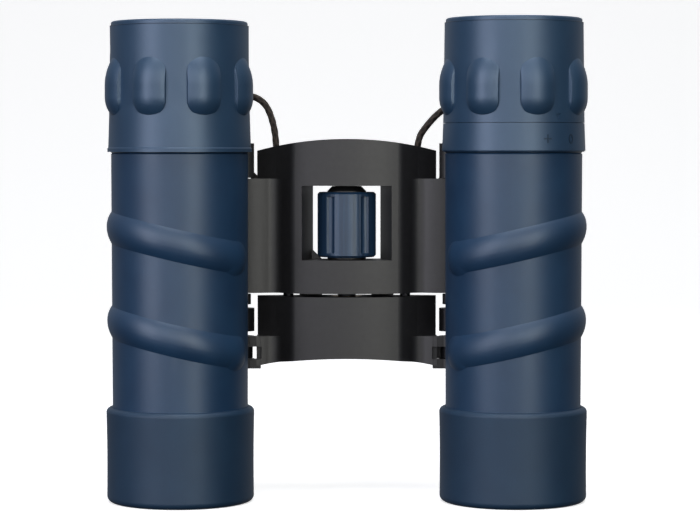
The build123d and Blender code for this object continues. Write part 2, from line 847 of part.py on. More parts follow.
def bridge_section(z, edge_x=None):
    """Section of the bridge at a height: out to the knuckles, or cut short at edge_x."""
    crest_y = hinge_y + arch_crest
    edge_y = hinge_y + arch_edge
    rear_crest_y = hinge_y + back_crest
    valley = (valley_x, hinge_y + valley_depth)
    rear_drop = rear_crest_y - hinge_y - knuckle_r
    rear_r = (hinge_x**2 + rear_drop**2) / (2 * rear_drop)
    with BuildSketch(Plane.XY.offset(z)) as section:
        with BuildLine():
            front = TangentArc((0, crest_y), (arch_half_width, edge_y), tangent=(1, 0))
            if edge_x is None:
                bottom = (hinge_x, hinge_y - knuckle_r)
                outer = (hinge_x + knuckle_r, hinge_y)
                top = (hinge_x, hinge_y + knuckle_r)
                Line(front @ 1, valley)
                TangentArc(bottom, valley, tangent=(-1, 0))
                ThreePointArc(bottom, outer, top)
            else:
                top = (edge_x, rear_crest_y - rear_r + sqrt(rear_r**2 - edge_x**2))
                Polyline(front @ 1, valley, (edge_x, hinge_y + shoulder_depth), top)
            TangentArc((0, rear_crest_y), top, tangent=(1, 0))
            mirror(about=Plane.YZ)
        make_face()
        corners = section.vertices().filter_by(
            lambda v: abs(abs(v.X) - arch_half_width) < same_place
        )
        fillet(corners, arch_round)
        if edge_x is None:
            valleys = section.vertices().filter_by(
                lambda v: abs(abs(v.X) - valley_x) < same_place
            )
            fillet(valleys, arch_round)
    return section.sketch


def side_region(z_low, z_high, half_width, y_low, y_high, mode):
    """A plain block across the bridge, to cut or keep part of its section."""
    with BuildSketch(Plane.XY.offset(z_low)) as block:
        with Locations((0, (y_low + y_high) / 2)):
            Rectangle(2 * half_width, y_high - y_low)
    extrude(block.sketch, amount=z_high - z_low, mode=mode)


def trim_to_outline(points, arc_mid):
    """Keep what lies inside a front view: straight edges and one bowed edge."""
    with BuildSketch(Plane.XZ) as outline:
        with BuildLine():
            ThreePointArc(points[0], arc_mid, points[-1])
            Polyline(*points)
        make_face()
    extrude(outline.sketch, amount=2 * rear_y, both=True, mode=Mode.INTERSECT)


def bridge_body():
    """Outer form of the upper bridge, front and cover together."""
    wide = hinge_x + 2 * knuckle_r
    extrude(bridge_section(bridge_low_z), amount=knuckle_high_z - bridge_low_z)
    extrude(
        bridge_section(bridge_low_z, bridge_half_width),
        amount=bridge_high_z - bridge_low_z,
    )
    trim_to_outline(
        [
            (-bridge_half_width, bridge_shoulder_z),
            (-wide, bridge_shoulder_z),
            (-wide, bridge_low_z),
            (wide, bridge_low_z),
            (wide, bridge_shoulder_z),
            (bridge_half_width, bridge_shoulder_z),
        ],
        (0, bridge_high_z),
    )


def slider_body():
    """Outer form of the focus slider: a plain part above, a wider foot with hinge ears below."""
    wide = hinge_x + 2 * knuckle_r
    foot_z = slider_low_z
    extrude(
        bridge_section(slider_step_z, slider_half_width),
        amount=slider_high_z - slider_step_z,
    )
    extrude(bridge_section(foot_z), amount=slider_step_z - foot_z)
    side_region(
        foot_z, slider_high_z, slider_foot_half_width, axis_y, rear_y,
        Mode.INTERSECT,
    )
    trim_to_outline(
        [
            (-hinge_x, slider_low_z),
            (-wide, slider_low_z),
            (-wide, slider_high_z),
            (wide, slider_high_z),
            (wide, slider_low_z),
            (hinge_x, slider_low_z),
        ],
        (0, slider_middle_z),
    )


def wheel_window():
    """Window for the focus wheel: wide at the front, narrower behind, open right through."""
    front_y = axis_y
    throat_y = hinge_y + window_throat_depth
    with BuildSketch(Plane.XY.offset(window_low_z)) as opening:
        with BuildLine():
            Polyline(
                (-window_half_width, front_y),
                (window_half_width, front_y),
                (window_half_width, hinge_y + window_mouth_depth),
                (window_throat, throat_y),
                (window_throat, rear_y),
                (-window_throat, rear_y),
                (-window_throat, throat_y),
                (-window_half_width, hinge_y + window_mouth_depth),
                close=True,
            )
        make_face()
    extrude(opening.sketch, amount=window_high_z - window_low_z, mode=Mode.SUBTRACT)


def bridge_bores():
    """Seats for the shaft bushes and the guide rods."""
    bore(wheel_plane, window_high_z, bush_top_z, upper_shaft_r + bush_wall + press_gap)
    bore(wheel_plane, bridge_low_z, window_low_z, shaft_r + run_gap + bush_wall + press_gap)
    for rod_x in (-rod_spacing / 2, rod_spacing / 2):
        rod_plane = Plane(origin=(rod_x, wheel_y, 0))
        bore(rod_plane, bridge_low_z, rod_high_z, rod_r + press_gap)


def cord_holes():
    """Holes in the top of the bridge for the neck cord, with a pocket for each knot."""
    for hole_x in (-cord_hole_x, cord_hole_x):
        hole_plane = Plane(origin=(hole_x, hinge_y + cord_hole_depth, 0))
        pocket_low_z = cord_seat_z - 2 * knot_r + knot_flat - knot_gap
        bore(hole_plane, pocket_low_z, bridge_high_z, cord_d / 2 + cord_hole_gap)
        bore(hole_plane, pocket_low_z, cord_seat_z, knot_r + knot_gap)


def make_bridge():
    """Front casting of the bridge with its hinge knuckles, and the cover behind it."""
    with BuildPart() as shell:
        bridge_body()
        side_region(
            bridge_low_z, bridge_high_z, bridge_half_width + cover_gap, hinge_y, rear_y,
            Mode.SUBTRACT,
        )
        wheel_window()
        bridge_bores()
        for hinge_side in (-1, 1):
            bore(
                Plane(origin=(hinge_side * hinge_x, hinge_y, 0)),
                bridge_low_z,
                knuckle_high_z,
                pin_press_r,
            )
    keep(shell, "bridge_front_shell")

    with BuildPart() as cover:
        bridge_body()
        side_region(
            bridge_low_z, bridge_high_z, bridge_half_width, hinge_y, rear_y, Mode.INTERSECT
        )
        wheel_window()
        bridge_bores()
        cord_holes()
        corner = Plane(
            origin=(-window_throat, hinge_y + window_throat_depth, window_low_z),
            x_dir=(1, 0, 0),
            z_dir=(0, -1, 0),
        )
        with BuildSketch(corner):
            with BuildLine():
                Polyline(
                    (-gusset_root, 0),
                    (gusset, 0),
                    (-gusset_root, gusset + gusset_root),
                    close=True,
                )
            make_face()
        extrude(amount=gusset_thick)
    keep(cover, "bridge_back_cover")


def slider_bores():
    """Seat for the screw nut, room for the screw, and running bores for the guide rods."""
    bore(wheel_plane, nut_low_z, slider_high_z, nut_seat_r)
    bore(wheel_plane, screw_low_z - screw_room, slider_high_z, shaft_r + 2 * run_gap)
    for rod_x in (-rod_spacing / 2, rod_spacing / 2):
        rod_plane = Plane(origin=(rod_x, wheel_y, 0))
        bore(rod_plane, slider_low_z, slider_high_z, rod_run_r)


def make_slider():
    """Front casting of the focus slider with its hinge ears, and the cover behind it."""
    small_low_z = cell_small_lug_low_z - side_gap
    small_high_z = cell_small_lug_high_z + side_gap
    with BuildPart() as shell:
        slider_body()
        side_region(
            slider_low_z, slider_high_z, slider_foot_half_width, hinge_y, rear_y,
            Mode.SUBTRACT,
        )
        for hinge_side in (-1, 1):
            ear_plane = Plane(origin=(hinge_side * hinge_x, hinge_y, 0))
            for low_z, high_z in ((slider_low_z, small_low_z), (small_high_z, slider_step_z)):
                with BuildSketch(ear_plane.offset(low_z)):
                    Circle(knuckle_r)
                    with Locations((-hinge_side * web_length / 2, -web_depth / 2)):
                        Rectangle(web_length, web_depth)
                extrude(amount=high_z - low_z)
            bore(ear_plane, slider_low_z, slider_step_z, pin_press_r)
            recess = Plane(
                origin=(hinge_side * slider_foot_half_width, hinge_y - knuckle_r, 0)
            )
            with BuildSketch(recess.offset(small_low_z)):
                Rectangle(2 * slot_recess, 2 * slot_recess_depth)
            extrude(amount=small_high_z - small_low_z, mode=Mode.SUBTRACT)
        slider_bores()
    keep(shell, "slider_front_shell")

    with BuildPart() as cover:
        slider_body()
        side_region(
            slider_low_z, slider_high_z, slider_foot_half_width, hinge_y, rear_y,
            Mode.INTERSECT,
        )
        slider_bores()
        with BuildSketch(Plane.XY.offset(cell_small_lug_low_z)):
            with Locations((hinge_x - slot_screen_in, hinge_y + slot_screen_depth)):
                Rectangle(slot_screen_width, slot_screen)
        extrude(amount=cell_small_lug_high_z - cell_small_lug_low_z)
    keep(cover, "slider_back_cover")

    with BuildPart() as nut:
        tube(wheel_plane, nut_low_z, slider_high_z, nut_seat_r - press_gap, shaft_r + run_gap)
    keep(nut, "slider_nut")


def make_pins_and_rods():
    """Hinge pins of the bridge and of the slider, and the two guide rods."""
    for side in ("left", "right"):
        with BuildPart() as pin:
            with BuildSketch(hinge_plane.offset(ear_low_z)):
                Circle(pin_r)
            extrude(amount=lug_high_z - ear_low_z)
        keep(pin, f"hinge_pin_{side}", left=side == "left")
        with BuildPart() as slider_pin:
            with BuildSketch(hinge_plane.offset(slider_low_z)):
                Circle(pin_r)
            extrude(amount=cell_lug_high_z - slider_low_z)
        keep(slider_pin, f"slider_pin_{side}", left=side == "left")
    with BuildPart() as rods:
        with BuildSketch(wheel_plane.offset(rod_low_z)):
            with Locations((-rod_spacing / 2, 0), (rod_spacing / 2, 0)):
                Circle(rod_r)
        extrude(amount=rod_high_z - rod_low_z)
    keep(rods, "guide_rods")


def make_focus_wheel():
    """Hub, fluted rubber grip and screw of the focus wheel, and the bushes it turns in."""
    hub_low_z = window_low_z + wheel_end_gap
    hub_high_z = window_high_z - wheel_end_gap
    with BuildPart() as hub:
        with BuildSketch(wheel_plane.offset(hub_low_z)):
            Circle(wheel_hub_r)
        extrude(amount=hub_high_z - hub_low_z)
        chamfer(hub.edges().sort_by(Axis.Z)[-1], wheel_hub_bevel)
        for low_z, high_z, radius in (
            (wheel_low_z, wheel_high_z, wheel_core_r),
            (hub_high_z, upper_shaft_top_z, upper_shaft_r),
        ):
            with BuildSketch(wheel_plane.offset(low_z)):
                Circle(radius)
            extrude(amount=high_z - low_z)
        bore(wheel_plane, hub_low_z, screw_high_z, shaft_r + press_gap)
    keep(hub, "focus_wheel_hub")

    with BuildPart() as grip:
        tube(wheel_plane, wheel_low_z, wheel_high_z, wheel_r, wheel_core_r + fit_gap)
        rims = grip.edges().filter_by(GeomType.CIRCLE).filter_by(
            lambda edge: abs(edge.radius - wheel_r) < run_gap
        )
        chamfer(rims, wheel_chamfer)
        with BuildSketch(wheel_plane.offset(wheel_low_z + wheel_rim)):
            with PolarLocations(
                wheel_r + flute_offset, flute_count, start_angle=flute_turn - 90
            ):
                Circle(flute_r)
        extrude(amount=wheel_high_z - wheel_low_z - 2 * wheel_rim, mode=Mode.SUBTRACT)
    keep(grip, "focus_wheel_grip")

    with BuildPart() as screw:
        with BuildSketch(wheel_plane.offset(screw_low_z)):
            Circle(shaft_r)
        extrude(amount=screw_high_z - screw_low_z)
    keep(screw, "focus_screw")

    with BuildPart() as upper_bush:
        tube(
            wheel_plane,
            window_high_z,
            upper_shaft_top_z,
            upper_shaft_r + bush_wall,
            upper_shaft_r + run_gap,
        )
    keep(upper_bush, "shaft_bush_upper")
    with BuildPart() as lower_bush:
        tube(
            wheel_plane,
            bridge_low_z,
            window_low_z,
            shaft_r + run_gap + bush_wall,
            shaft_r + run_gap,
        )
    keep(lower_bush, "shaft_bush_lower")


strand_x = coil_mean_r + (coil_rows - 1) * cord_d / 2      # outer row of the coil
strand_layer = (coil_layers - 1) * cord_d / 2               # front and back layers

# Routes of the two strands, from the knots in the bridge to the coil: x, depth, height.
strand_routes = {
    "left": [
        (-cord_hole_x, cord_hole_depth, cord_seat_z),
        (-cord_hole_x, cord_hole_depth, 82.6),
        (-17.4, 2.8, 87.6),
        (-19.2, 4.4, 91.4),
        (-23.0, 6.2, 93.2),
        (-27.3, 7.6, 91.8),
        (-29.6, 8.2, 87.2),
        (-28.4, 8.6, 81.4),
        (-23.4, 9.0, 75.2),
        (-17.2, 9.4, 69.4),
        (-12.2, 9.7, 62.8),
        (-strand_x, coil_depth - strand_layer, 56.8),
        (-strand_x, coil_depth - strand_layer, coil_strand_z),
    ],
    "right": [
        (cord_hole_x, cord_hole_depth, cord_seat_z),
        (cord_hole_x, cord_hole_depth, 82.6),
        (17.8, 2.7, 86.2),
        (20.2, 4.1, 89.4),
        (23.8, 5.7, 91.3),
        (27.9, 7.1, 90.6),
        (30.5, 8.2, 86.8),
        (30.0, 9.2, 81.2),
        (25.2, 10.6, 75.4),
        (18.6, 12.2, 69.8),
        (12.8, 13.8, 63.4),
        (strand_x, coil_depth + strand_layer, 56.8),
        (strand_x, coil_depth + strand_layer, coil_strand_z),
    ],
}


def turn_between(before, corner, after):
    """Angle in degrees by which a route turns at a corner."""
    return (corner - before).get_angle(after - corner)


def make_strand(side):
    """One visible strand of the neck cord, from its knot to the coil behind the bridge."""
    points = [Vector(x, hinge_y + depth, z) for x, depth, z in strand_routes[side]]
    radii = []
    for before, corner, after in zip(points, points[1:], points[2:]):
        shorter = min((corner - before).length, (after - corner).length)
        half_turn = radians(turn_between(before, corner, after)) / 2
        radii.append(bend_share * shorter / tan(half_turn))
    with BuildPart() as strand:
        with BuildLine() as route:
            FilletPolyline(*points, radius=radii)
        with BuildSketch(Plane(origin=points[0], z_dir=points[1] - points[0])):
            Circle(cord_d / 2)
        sweep(path=route.wire())
    keep(strand, f"neck_cord_{side}")
    length = route.wire().length
    print(side, "strand length", round(length, 1))
    print(side, "volume", round(strand.part.volume, 2), round(pi * (cord_d / 2) ** 2 * length, 2))
    print(side, "radii", [round(radius, 1) for radius in radii])


def make_coil():
    """The put-away length of the cord, its tie, and the two knots in the bridge."""
    coil_plane = Plane(
        origin=(0, hinge_y + coil_depth, coil_z), x_dir=(1, 0, 0), z_dir=(0, -1, 0)
    )
    outer_r = coil_mean_r + coil_rows * cord_d / 2 + coil_play
    inner_r = coil_mean_r - coil_rows * cord_d / 2 - coil_play
    half_depth = coil_layers * cord_d / 2 + coil_play
    with BuildPart() as coil:
        with BuildSketch(coil_plane):
            Circle(outer_r)
            Circle(inner_r, mode=Mode.SUBTRACT)
        extrude(amount=half_depth, both=True)
        fillet(coil.edges(), cord_d / 2)
        for strand_side in (-1, 1):
            foot_y = hinge_y + coil_depth + strand_side * strand_layer
            with BuildSketch(Plane(origin=(strand_side * strand_x, foot_y, coil_z))):
                Circle(cord_d / 2)
            extrude(amount=coil_strand_z - coil_z)
    keep(coil, "neck_cord_coil")

    tie_low = sqrt(inner_r**2 - (tie_width / 2) ** 2) - fit_gap
    tie_high = outer_r + fit_gap
    bundle_deep = 2 * (half_depth + fit_gap)
    tie_middle = (tie_low + tie_high) / 2
    tie_plane = Plane(
        origin=(0, hinge_y + coil_depth, coil_z + tie_middle), x_dir=(0, 1, 0), z_dir=(1, 0, 0)
    )
    with BuildPart() as tie:
        with BuildSketch(tie_plane):
            RectangleRounded(
                bundle_deep + 2 * tie_wall, tie_high - tie_low + 2 * tie_wall, tie_wall
            )
            Rectangle(bundle_deep, tie_high - tie_low, mode=Mode.SUBTRACT)
        extrude(amount=tie_width / 2, both=True)
    keep(tie, "cord_tie")

    with BuildPart() as knots:
        knot_z = cord_seat_z - knot_r + knot_flat
        knot_y = hinge_y + cord_hole_depth
        with Locations((-cord_hole_x, knot_y, knot_z), (cord_hole_x, knot_y, knot_z)):
            Sphere(knot_r)
        side_region(
            cord_seat_z, cord_seat_z + knot_r, 2 * cord_hole_x, axis_y, rear_y,
            Mode.SUBTRACT,
        )
    keep(knots, "cord_knots")


for side in ("left", "right"):
    make_strand(side)
    make_housing(side)
    make_armour(side)
    make_objective_ring(side)
    make_objective_cell(side)
    make_objective_lenses(side)
    make_prisms(side)
    make_eyepiece(side)
make_left_eyecup()
make_dioptre_eyecup()
make_base_ring()
make_bridge()
make_slider()
make_pins_and_rods()
make_focus_wheel()
make_coil()
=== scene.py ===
# Compact binoculars: neck cord, thin trim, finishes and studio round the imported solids.

import json
import math

import bmesh
import bpy
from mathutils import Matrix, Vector

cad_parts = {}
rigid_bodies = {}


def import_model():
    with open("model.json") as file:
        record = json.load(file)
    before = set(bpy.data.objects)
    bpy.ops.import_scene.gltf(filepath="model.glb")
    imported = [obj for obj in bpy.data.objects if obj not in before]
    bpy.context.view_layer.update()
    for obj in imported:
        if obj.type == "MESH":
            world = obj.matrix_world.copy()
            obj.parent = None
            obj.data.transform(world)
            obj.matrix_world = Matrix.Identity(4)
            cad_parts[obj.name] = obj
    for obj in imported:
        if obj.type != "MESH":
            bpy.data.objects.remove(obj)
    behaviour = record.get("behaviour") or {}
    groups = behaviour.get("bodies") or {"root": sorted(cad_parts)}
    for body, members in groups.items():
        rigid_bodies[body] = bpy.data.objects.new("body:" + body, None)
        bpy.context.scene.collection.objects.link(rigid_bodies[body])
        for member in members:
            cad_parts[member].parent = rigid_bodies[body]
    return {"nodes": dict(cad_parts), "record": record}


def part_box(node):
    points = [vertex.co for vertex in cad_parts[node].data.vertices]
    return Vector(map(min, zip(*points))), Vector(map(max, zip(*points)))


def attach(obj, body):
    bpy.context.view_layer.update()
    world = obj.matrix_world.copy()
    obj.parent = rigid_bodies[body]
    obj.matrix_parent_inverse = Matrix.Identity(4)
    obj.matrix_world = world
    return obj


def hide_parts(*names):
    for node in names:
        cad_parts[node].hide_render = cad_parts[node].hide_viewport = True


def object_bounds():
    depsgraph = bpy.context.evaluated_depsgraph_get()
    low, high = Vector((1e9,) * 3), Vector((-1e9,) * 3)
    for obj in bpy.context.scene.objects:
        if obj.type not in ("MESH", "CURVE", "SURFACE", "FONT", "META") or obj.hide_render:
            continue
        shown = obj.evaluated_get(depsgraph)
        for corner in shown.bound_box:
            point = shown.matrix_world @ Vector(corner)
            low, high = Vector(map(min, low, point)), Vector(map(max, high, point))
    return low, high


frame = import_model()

MM = 0.001
nodes = frame["nodes"]
scene = bpy.context.scene
for obj in list(scene.objects):
    if obj.type in {"CAMERA", "LIGHT"} or (obj.type == "MESH" and obj not in nodes.values()):
        bpy.data.objects.remove(obj)
cad_low, cad_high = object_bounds()

# Places, worked out from the frame
ring_low, ring_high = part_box("right_objective_ring")
AXIS_X = (ring_low.x + ring_high.x) / 2
AXIS_Y = (ring_low.y + ring_high.y) / 2
pin_low, pin_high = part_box("hinge_pin_right")
HINGE_X = (pin_low.x + pin_high.x) / 2
HINGE_Y = (pin_low.y + pin_high.y) / 2
base_low, base_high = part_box("right_dioptre_base_ring")
WALL_R = (base_high.x - base_low.x) / 2      # of the base ring, at its foot


# ---- Camera ------------------------------------------------------------------------------

LENS, SENSOR = 128, 36       # millimetres
EYE_HEIGHT = 80 * MM
EYE_BACK = 567 * MM          # from the plane of the optical axes
AIM = Vector((0.75 * MM, AXIS_Y, 55.2 * MM))
CLIP_START, CLIP_END = 0.01, 20

camera_data = bpy.data.cameras.new("camera")
camera_data.lens = LENS
camera_data.sensor_width = SENSOR
camera_data.clip_start = CLIP_START
camera_data.clip_end = CLIP_END
camera = bpy.data.objects.new("camera", camera_data)
scene.collection.objects.link(camera)
camera.location = (0, AXIS_Y - EYE_BACK, EYE_HEIGHT)
camera.rotation_euler = (AIM - camera.location).to_track_quat("-Z", "Y").to_euler()
scene.camera = camera


# ---- Helpers -----------------------------------------------------------------------------


def link(name, data):
    obj = bpy.data.objects.new(name, data)
    scene.collection.objects.link(obj)
    return obj


def mesh_object(name, vertices, faces, smooth=True):
    """An object of these corners and faces, with its normals outwards."""
    mesh = bpy.data.meshes.new(name)
    mesh.from_pydata(vertices, [], faces)
    mesh.validate()
    bm = bmesh.new()
    bm.from_mesh(mesh)
    bmesh.ops.recalc_face_normals(bm, faces=bm.faces)
    bm.to_mesh(mesh)
    bm.free()
    for polygon in mesh.polygons:
        polygon.use_smooth = smooth
    return link(name, mesh)


# ---- Neck cord ---------------------------------------------------------------------------
# The tube's control points, in millimetres: x, depth behind the hinges, height. Five points
# of the right strand lie up to 1.5 mm from the tube's, to follow the picture.

CORD_D = 1.6
CORD_SIDES = 16
LINE_STEP = 0.3
SHORTEST_STEP = 0.3          # at the end of the line, as a share of a step
HOLE_X, HOLE_DEPTH, SEAT_Z = 16.4, 1.85, 78.6
COIL_R, COIL_DEPTH, COIL_Z = 8.8, 12.2, 43.6
COIL_LAYERS = 4
MID_LAYER = (COIL_LAYERS - 1) / 2
COIL_TURNS = 11.5
COIL_HOLD = 0.72             # share of a turn before the cord moves over to its next place
POINTS_A_TURN = 16
STRAND_X, STRAND_LAYER, STRAND_Z = COIL_R + CORD_D, MID_LAYER * CORD_D, 51.0
BRAID_YARNS = 4              # round the cord, each way
BRAID_STEP = 2.4             # along the cord, from one crossing to the next like it
BRAID_DEPTH = 0.045          # as a share of the radius
YARN_THREADS = 4             # side by side in each yarn

left_strand = [
    (-HOLE_X, HOLE_DEPTH, SEAT_Z),
    (-HOLE_X, HOLE_DEPTH, 82.6),
    (-17.4, 2.8, 87.6),
    (-19.2, 4.4, 91.4),
    (-23.0, 6.2, 93.2),
    (-27.3, 7.6, 91.8),
    (-29.6, 8.2, 87.2),
    (-28.4, 8.6, 81.4),
    (-23.4, 9.0, 75.2),
    (-17.2, 9.4, 69.4),
    (-12.2, 9.7, 62.8),
    (-STRAND_X, COIL_DEPTH - STRAND_LAYER, 56.8),
    (-STRAND_X, COIL_DEPTH - STRAND_LAYER, STRAND_Z),
]
right_strand = [
    (HOLE_X, HOLE_DEPTH, SEAT_Z),
    (HOLE_X, HOLE_DEPTH, 82.6),
    (18.7, 2.6, 85.9),
    (21.6, 4.0, 89.0),
    (25.0, 5.6, 90.9),
    (28.4, 7.1, 90.3),
    (30.7, 8.2, 86.8),
    (30.0, 9.2, 81.2),
    (25.2, 10.6, 75.4),
    (18.6, 12.2, 69.8),
    (12.8, 13.8, 63.4),
    (STRAND_X, COIL_DEPTH + STRAND_LAYER, 56.8),
    (STRAND_X, COIL_DEPTH + STRAND_LAYER, STRAND_Z),
]


def coil_points():
    """Turns of the coil, layer by layer, from the left strand round to the right one."""
    places = []
    for layer in range(COIL_LAYERS):
        rows = (1, 0, -1) if layer % 2 == 0 else (-1, 0, 1)
        places += [(COIL_R + row * CORD_D, (layer - MID_LAYER) * CORD_D) for row in rows]
    points = []
    for i in range(round(COIL_TURNS * POINTS_A_TURN) + 1):
        turn = i / POINTS_A_TURN * len(places) / COIL_TURNS
        now = min(int(turn), len(places) - 1)
        ahead = min(now + 1, len(places) - 1)
        share = min(max((turn - now - COIL_HOLD) / (1 - COIL_HOLD), 0), 1)
        mix = share * share * (3 - 2 * share)
        radius = places[now][0] * (1 - mix) + places[ahead][0] * mix
        depth = COIL_DEPTH + places[now][1] * (1 - mix) + places[ahead][1] * mix
        angle = math.pi + 2 * math.pi * i / POINTS_A_TURN
        points.append((radius * math.cos(angle), depth, COIL_Z + radius * math.sin(angle)))
    return points


def in_frame(points):
    return [Vector((x * MM, HINGE_Y + depth * MM, z * MM)) for x, depth, z in points]


cord_points = in_frame(left_strand + coil_points() + right_strand[::-1])
route = bpy.data.curves.new("cord_route", "CURVE")
route.dimensions = "3D"
spline = route.splines.new("NURBS")
spline.points.add(len(cord_points) - 1)
for point, place in zip(spline.points, cord_points):
    point.co = (*place, 1)
spline.order_u = 3
spline.use_endpoint_u = True
spline.resolution_u = 8
route_object = link("cord_route", route)
bpy.context.view_layer.update()
line_mesh = bpy.data.meshes.new_from_object(
    route_object.evaluated_get(bpy.context.evaluated_depsgraph_get())
)
cord_line = [vertex.co.copy() for vertex in line_mesh.vertices]
bpy.data.objects.remove(route_object)


def even_line(line, step):
    """The same line with points at equal distances."""
    spaced, left = [line[0]], step
    for a, b in zip(line, line[1:]):
        run = (b - a).length
        while run > 0 and left <= run:
            a = a + (b - a) * (left / run)
            spaced.append(a)
            run, left = (b - a).length, step
        left -= run
    if (spaced[-1] - line[-1]).length > step * SHORTEST_STEP:
        spaced.append(line[-1])
    return spaced


def cord_tube(name, line, radius):
    """A braided tube along a line, with lengths in mm kept in its second map axis."""
    frames = []
    side = (line[1] - line[0]).orthogonal().normalized()
    for i, place in enumerate(line):
        ahead = line[min(i + 1, len(line) - 1)] - line[max(i - 1, 0)]
        ahead.normalize()
        side = (side - ahead * side.dot(ahead)).normalized()
        frames.append((place, side.copy(), ahead.cross(side)))
    step = (line[1] - line[0]).length
    vertices, faces, maps = [], [], []
    for i, (place, a, b) in enumerate(frames):
        along = 2 * math.pi * (i * step / MM) / BRAID_STEP
        for k in range(CORD_SIDES):
            angle = 2 * math.pi * k / CORD_SIDES
            over = math.cos(BRAID_YARNS * angle + along)
            under = math.cos(BRAID_YARNS * angle - along)
            swell = radius * (1 - BRAID_DEPTH + BRAID_DEPTH * max(over, under))
            vertices.append(place + (a * math.cos(angle) + b * math.sin(angle)) * swell)
    for i in range(len(frames) - 1):
        here, there = i * CORD_SIDES, (i + 1) * CORD_SIDES
        low, high = i * step / MM, (i + 1) * step / MM
        for k in range(CORD_SIDES):
            n = (k + 1) % CORD_SIDES
            faces.append((here + k, here + n, there + n, there + k))
            u, v = k / CORD_SIDES, (k + 1) / CORD_SIDES
            maps += [(u, low), (v, low), (v, high), (u, high)]
    first_end, last_end = range(CORD_SIDES), range(len(vertices) - CORD_SIDES, len(vertices))
    faces += [tuple(reversed(first_end)), tuple(last_end)]
    maps += [(0, 0)] * (2 * CORD_SIDES)
    mesh = bpy.data.meshes.new(name)
    mesh.from_pydata(vertices, [], faces)
    layer = mesh.uv_layers.new(name="along")
    for loop, place in zip(layer.data, maps):
        loop.uv = place
    for polygon in mesh.polygons:
        polygon.use_smooth = len(polygon.vertices) == 4
    return link(name, mesh)


cord_line = even_line(cord_line, LINE_STEP * MM)
neck_cord = cord_tube("neck_cord", cord_line, CORD_D / 2 * MM)
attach(neck_cord, "bridge")
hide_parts("neck_cord_left", "neck_cord_right", "neck_cord_coil")


# ---- Marks of the dioptre scale ------------------------------------------------------------
# A plus and a nought stand out of the base ring's wall.

WALL_TAPER = 0.25 * MM       # off the radius, from the foot of the wall to its top
MARK_Z = base_low.z + 2.9 * MM
MARK_HIGH, STROKE_W, MARK_RISE = 1.9 * MM, 0.34 * MM, 0.09 * MM
PLUS_TURN, NOUGHT_TURN = math.radians(24), math.radians(48)    # from the front, outwards
NOUGHT_SHAPE, NOUGHT_POINTS = 0.62, 20       # width over height


def wall_point(turn, along, up, out):
    """A point on the base ring's tapering wall, moved sideways and up and raised by out."""
    z = MARK_Z + up
    share = (z - base_low.z) / (base_high.z - base_low.z)
    radius = WALL_R - WALL_TAPER * share + out
    angle = turn + along / radius
    return (AXIS_X + radius * math.sin(angle), AXIS_Y - radius * math.cos(angle), z)


def stroke(turn, points, closed):
    """Corners and faces of a raised line through points given along and up the wall."""
    corners, faces = [], []
    count = len(points)
    for i, (along, up) in enumerate(points):
        before = points[i - 1] if closed or i > 0 else points[i]
        after = points[(i + 1) % count] if closed or i + 1 < count else points[i]
        run = Vector((after[0] - before[0], after[1] - before[1])).normalized()
        for side, out in ((-1, -1), (-1, 1), (1, 1), (1, -1)):
            half = side * STROKE_W / 2
            corners.append(
                wall_point(turn, along - half * run.y, up + half * run.x, out * MARK_RISE)
            )
    for i in range(count if closed else count - 1):
        j = (i + 1) % count
        for k in range(4):
            m = (k + 1) % 4
            faces.append((4 * i + k, 4 * i + m, 4 * j + m, 4 * j + k))
    if not closed:
        last = 4 * count
        faces += [(0, 1, 2, 3), (last - 1, last - 2, last - 3, last - 4)]
    return corners, faces


def dioptre_marks():
    half = MARK_HIGH / 2
    turns = [2 * math.pi * i / NOUGHT_POINTS for i in range(NOUGHT_POINTS)]
    nought = [(NOUGHT_SHAPE * half * math.sin(t), half * math.cos(t)) for t in turns]
    across = [(-half, 0), (0, 0), (half, 0)]
    upright = [(0, -half), (0, 0), (0, half)]
    vertices, faces = [], []
    for turn, points, closed in (
        (PLUS_TURN, across, False),
        (PLUS_TURN, upright, False),
        (NOUGHT_TURN, nought, True),
    ):
        corners, sides = stroke(turn, points, closed)
        faces += [tuple(len(vertices) + k for k in face) for face in sides]
        vertices += corners
    return mesh_object("dioptre_marks", vertices, faces, smooth=False)


marks = dioptre_marks()
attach(marks, "right_barrel")


# ---- Plate of the slider -------------------------------------------------------------------
# It backs the slider's right slot.

PLATE_LOW = (HINGE_X - 3.4 * MM, HINGE_Y + 2.7 * MM, 31.4 * MM)
PLATE_HIGH = (HINGE_X - 1.1 * MM, HINGE_Y + 3.1 * MM, 34.7 * MM)


def block(name, low, high):
    corners = [
        (x, y, z) for x in (low[0], high[0]) for y in (low[1], high[1]) for z in (low[2], high[2])
    ]
    faces = [(0, 1, 3, 2), (4, 6, 7, 5), (0, 4, 5, 1), (2, 3, 7, 6), (0, 2, 6, 4), (1, 5, 7, 3)]
    return mesh_object(name, corners, faces, smooth=False)


slot_plate = block("slot_plate", PLATE_LOW, PLATE_HIGH)
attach(slot_plate, "focus_slider")


# ---- Thin rings at the eyecups -------------------------------------------------------------
# A dark line in the groove under the bead of each mouth, hardly proud of the wall, is a painted
# shadow;
# a seal closes the gap between each armour and what sits on it, and its dark colour is painted
# shade in that joint.

LEFT, RIGHT = -1, 1
GROOVE_R, GROOVE_TUBE = WALL_R - 0.58 * MM, 0.1 * MM
SEAL_R, SEAL_TUBE = WALL_R - 1.0 * MM, 0.3 * MM
BEAD_HIGH = 1.05 * MM        # from the groove line up to the rim
RING_SECTIONS, RING_SIDES = 96, 8


